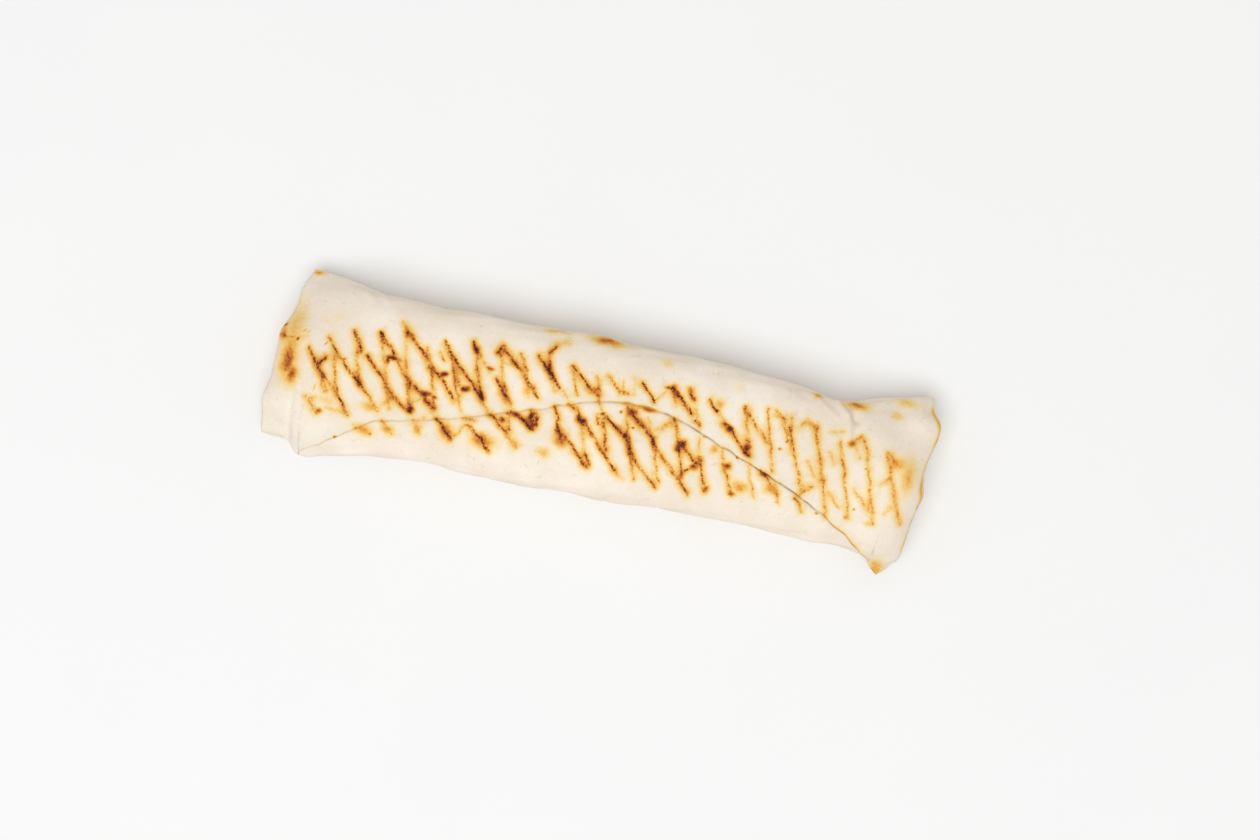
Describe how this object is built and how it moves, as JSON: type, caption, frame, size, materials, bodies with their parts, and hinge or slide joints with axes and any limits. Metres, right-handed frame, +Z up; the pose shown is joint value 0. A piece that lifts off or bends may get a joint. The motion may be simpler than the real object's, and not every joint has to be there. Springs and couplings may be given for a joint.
{
  "type": "grilled flatbread wrap",
  "caption": "Uncut grill-pressed wrap: a thin flatbread rolled round its filling, both ends folded in and flared flat, with the sheet's free edge crossing the crown.",
  "frame": {"origin": "centre of the bounding box in plan, on the flat underside that the wrap rests on", "axes": "+X along the roll towards the end with the pleated corner, +Y towards the long side that the outer turn comes up from, +Z up"},
  "size_m": [0.2848, 0.0786, 0.037],
  "materials": {
    "flatbread": "matt baked flatbread with brown grill marks"
  },
  "bodies": {
    "root": {"wrap": "flatbread"}
  },
  "joints": []
}
